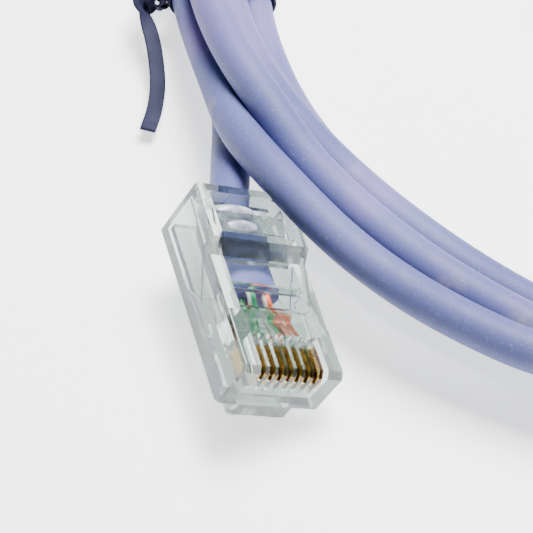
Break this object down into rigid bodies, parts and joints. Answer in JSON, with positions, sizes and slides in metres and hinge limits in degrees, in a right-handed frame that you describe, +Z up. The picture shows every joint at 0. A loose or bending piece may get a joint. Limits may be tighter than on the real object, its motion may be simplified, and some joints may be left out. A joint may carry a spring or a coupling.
{
  "type": "ethernet patch cable",
  "caption": "Slim round network patch lead wound into an oval coil, held by a twist tie, with a clear modular plug on each end.",
  "frame": {"origin": "middle of the whole lead's box, on the floor that the coil lies on", "axes": "+Z up, square to the coil; +X to the right and +Y away, as the picture's camera sees the lead"},
  "size_m": [0.0926, 0.0988, 0.0138],
  "materials": {
    "jacket": "soft lavender PVC jacket, satin, with faint dust",
    "housing": "clear moulded polycarbonate, glossy, faintly grey-green",
    "contact": "gold-plated stamped blades",
    "wire_green": "green wire insulation",
    "wire_orange": "orange wire insulation",
    "wire_white_green": "white wire insulation with a green trace",
    "wire_white_orange": "white wire insulation with an orange trace",
    "tie": "plastic-coated wire twist tie, lavender grey"
  },
  "bodies": {
    "root": {"cable_coil": "jacket", "cable_lead_a": "jacket", "cable_lead_b": "jacket", "twist_tie": "tie", "plug_a_housing": "housing", "plug_a_contact_1": "contact", "plug_a_contact_2": "contact", "plug_a_contact_3": "contact", "plug_a_contact_4": "contact", "plug_a_contact_5": "contact", "plug_a_contact_6": "contact", "plug_a_contact_7": "contact", "plug_a_contact_8": "contact", "plug_a_conductor_green": "wire_green", "plug_a_conductor_white_green": "wire_white_green", "plug_a_conductor_orange": "wire_orange", "plug_a_conductor_white_orange": "wire_white_orange", "plug_b_housing": "housing", "plug_b_contact_1": "contact", "plug_b_contact_2": "contact", "plug_b_contact_3": "contact", "plug_b_contact_4": "contact", "plug_b_contact_5": "contact", "plug_b_contact_6": "contact", "plug_b_contact_7": "contact", "plug_b_contact_8": "contact", "plug_b_conductor_green": "wire_green", "plug_b_conductor_white_green": "wire_white_green", "plug_b_conductor_orange": "wire_orange", "plug_b_conductor_white_orange": "wire_white_orange"}
  },
  "joints": []
}
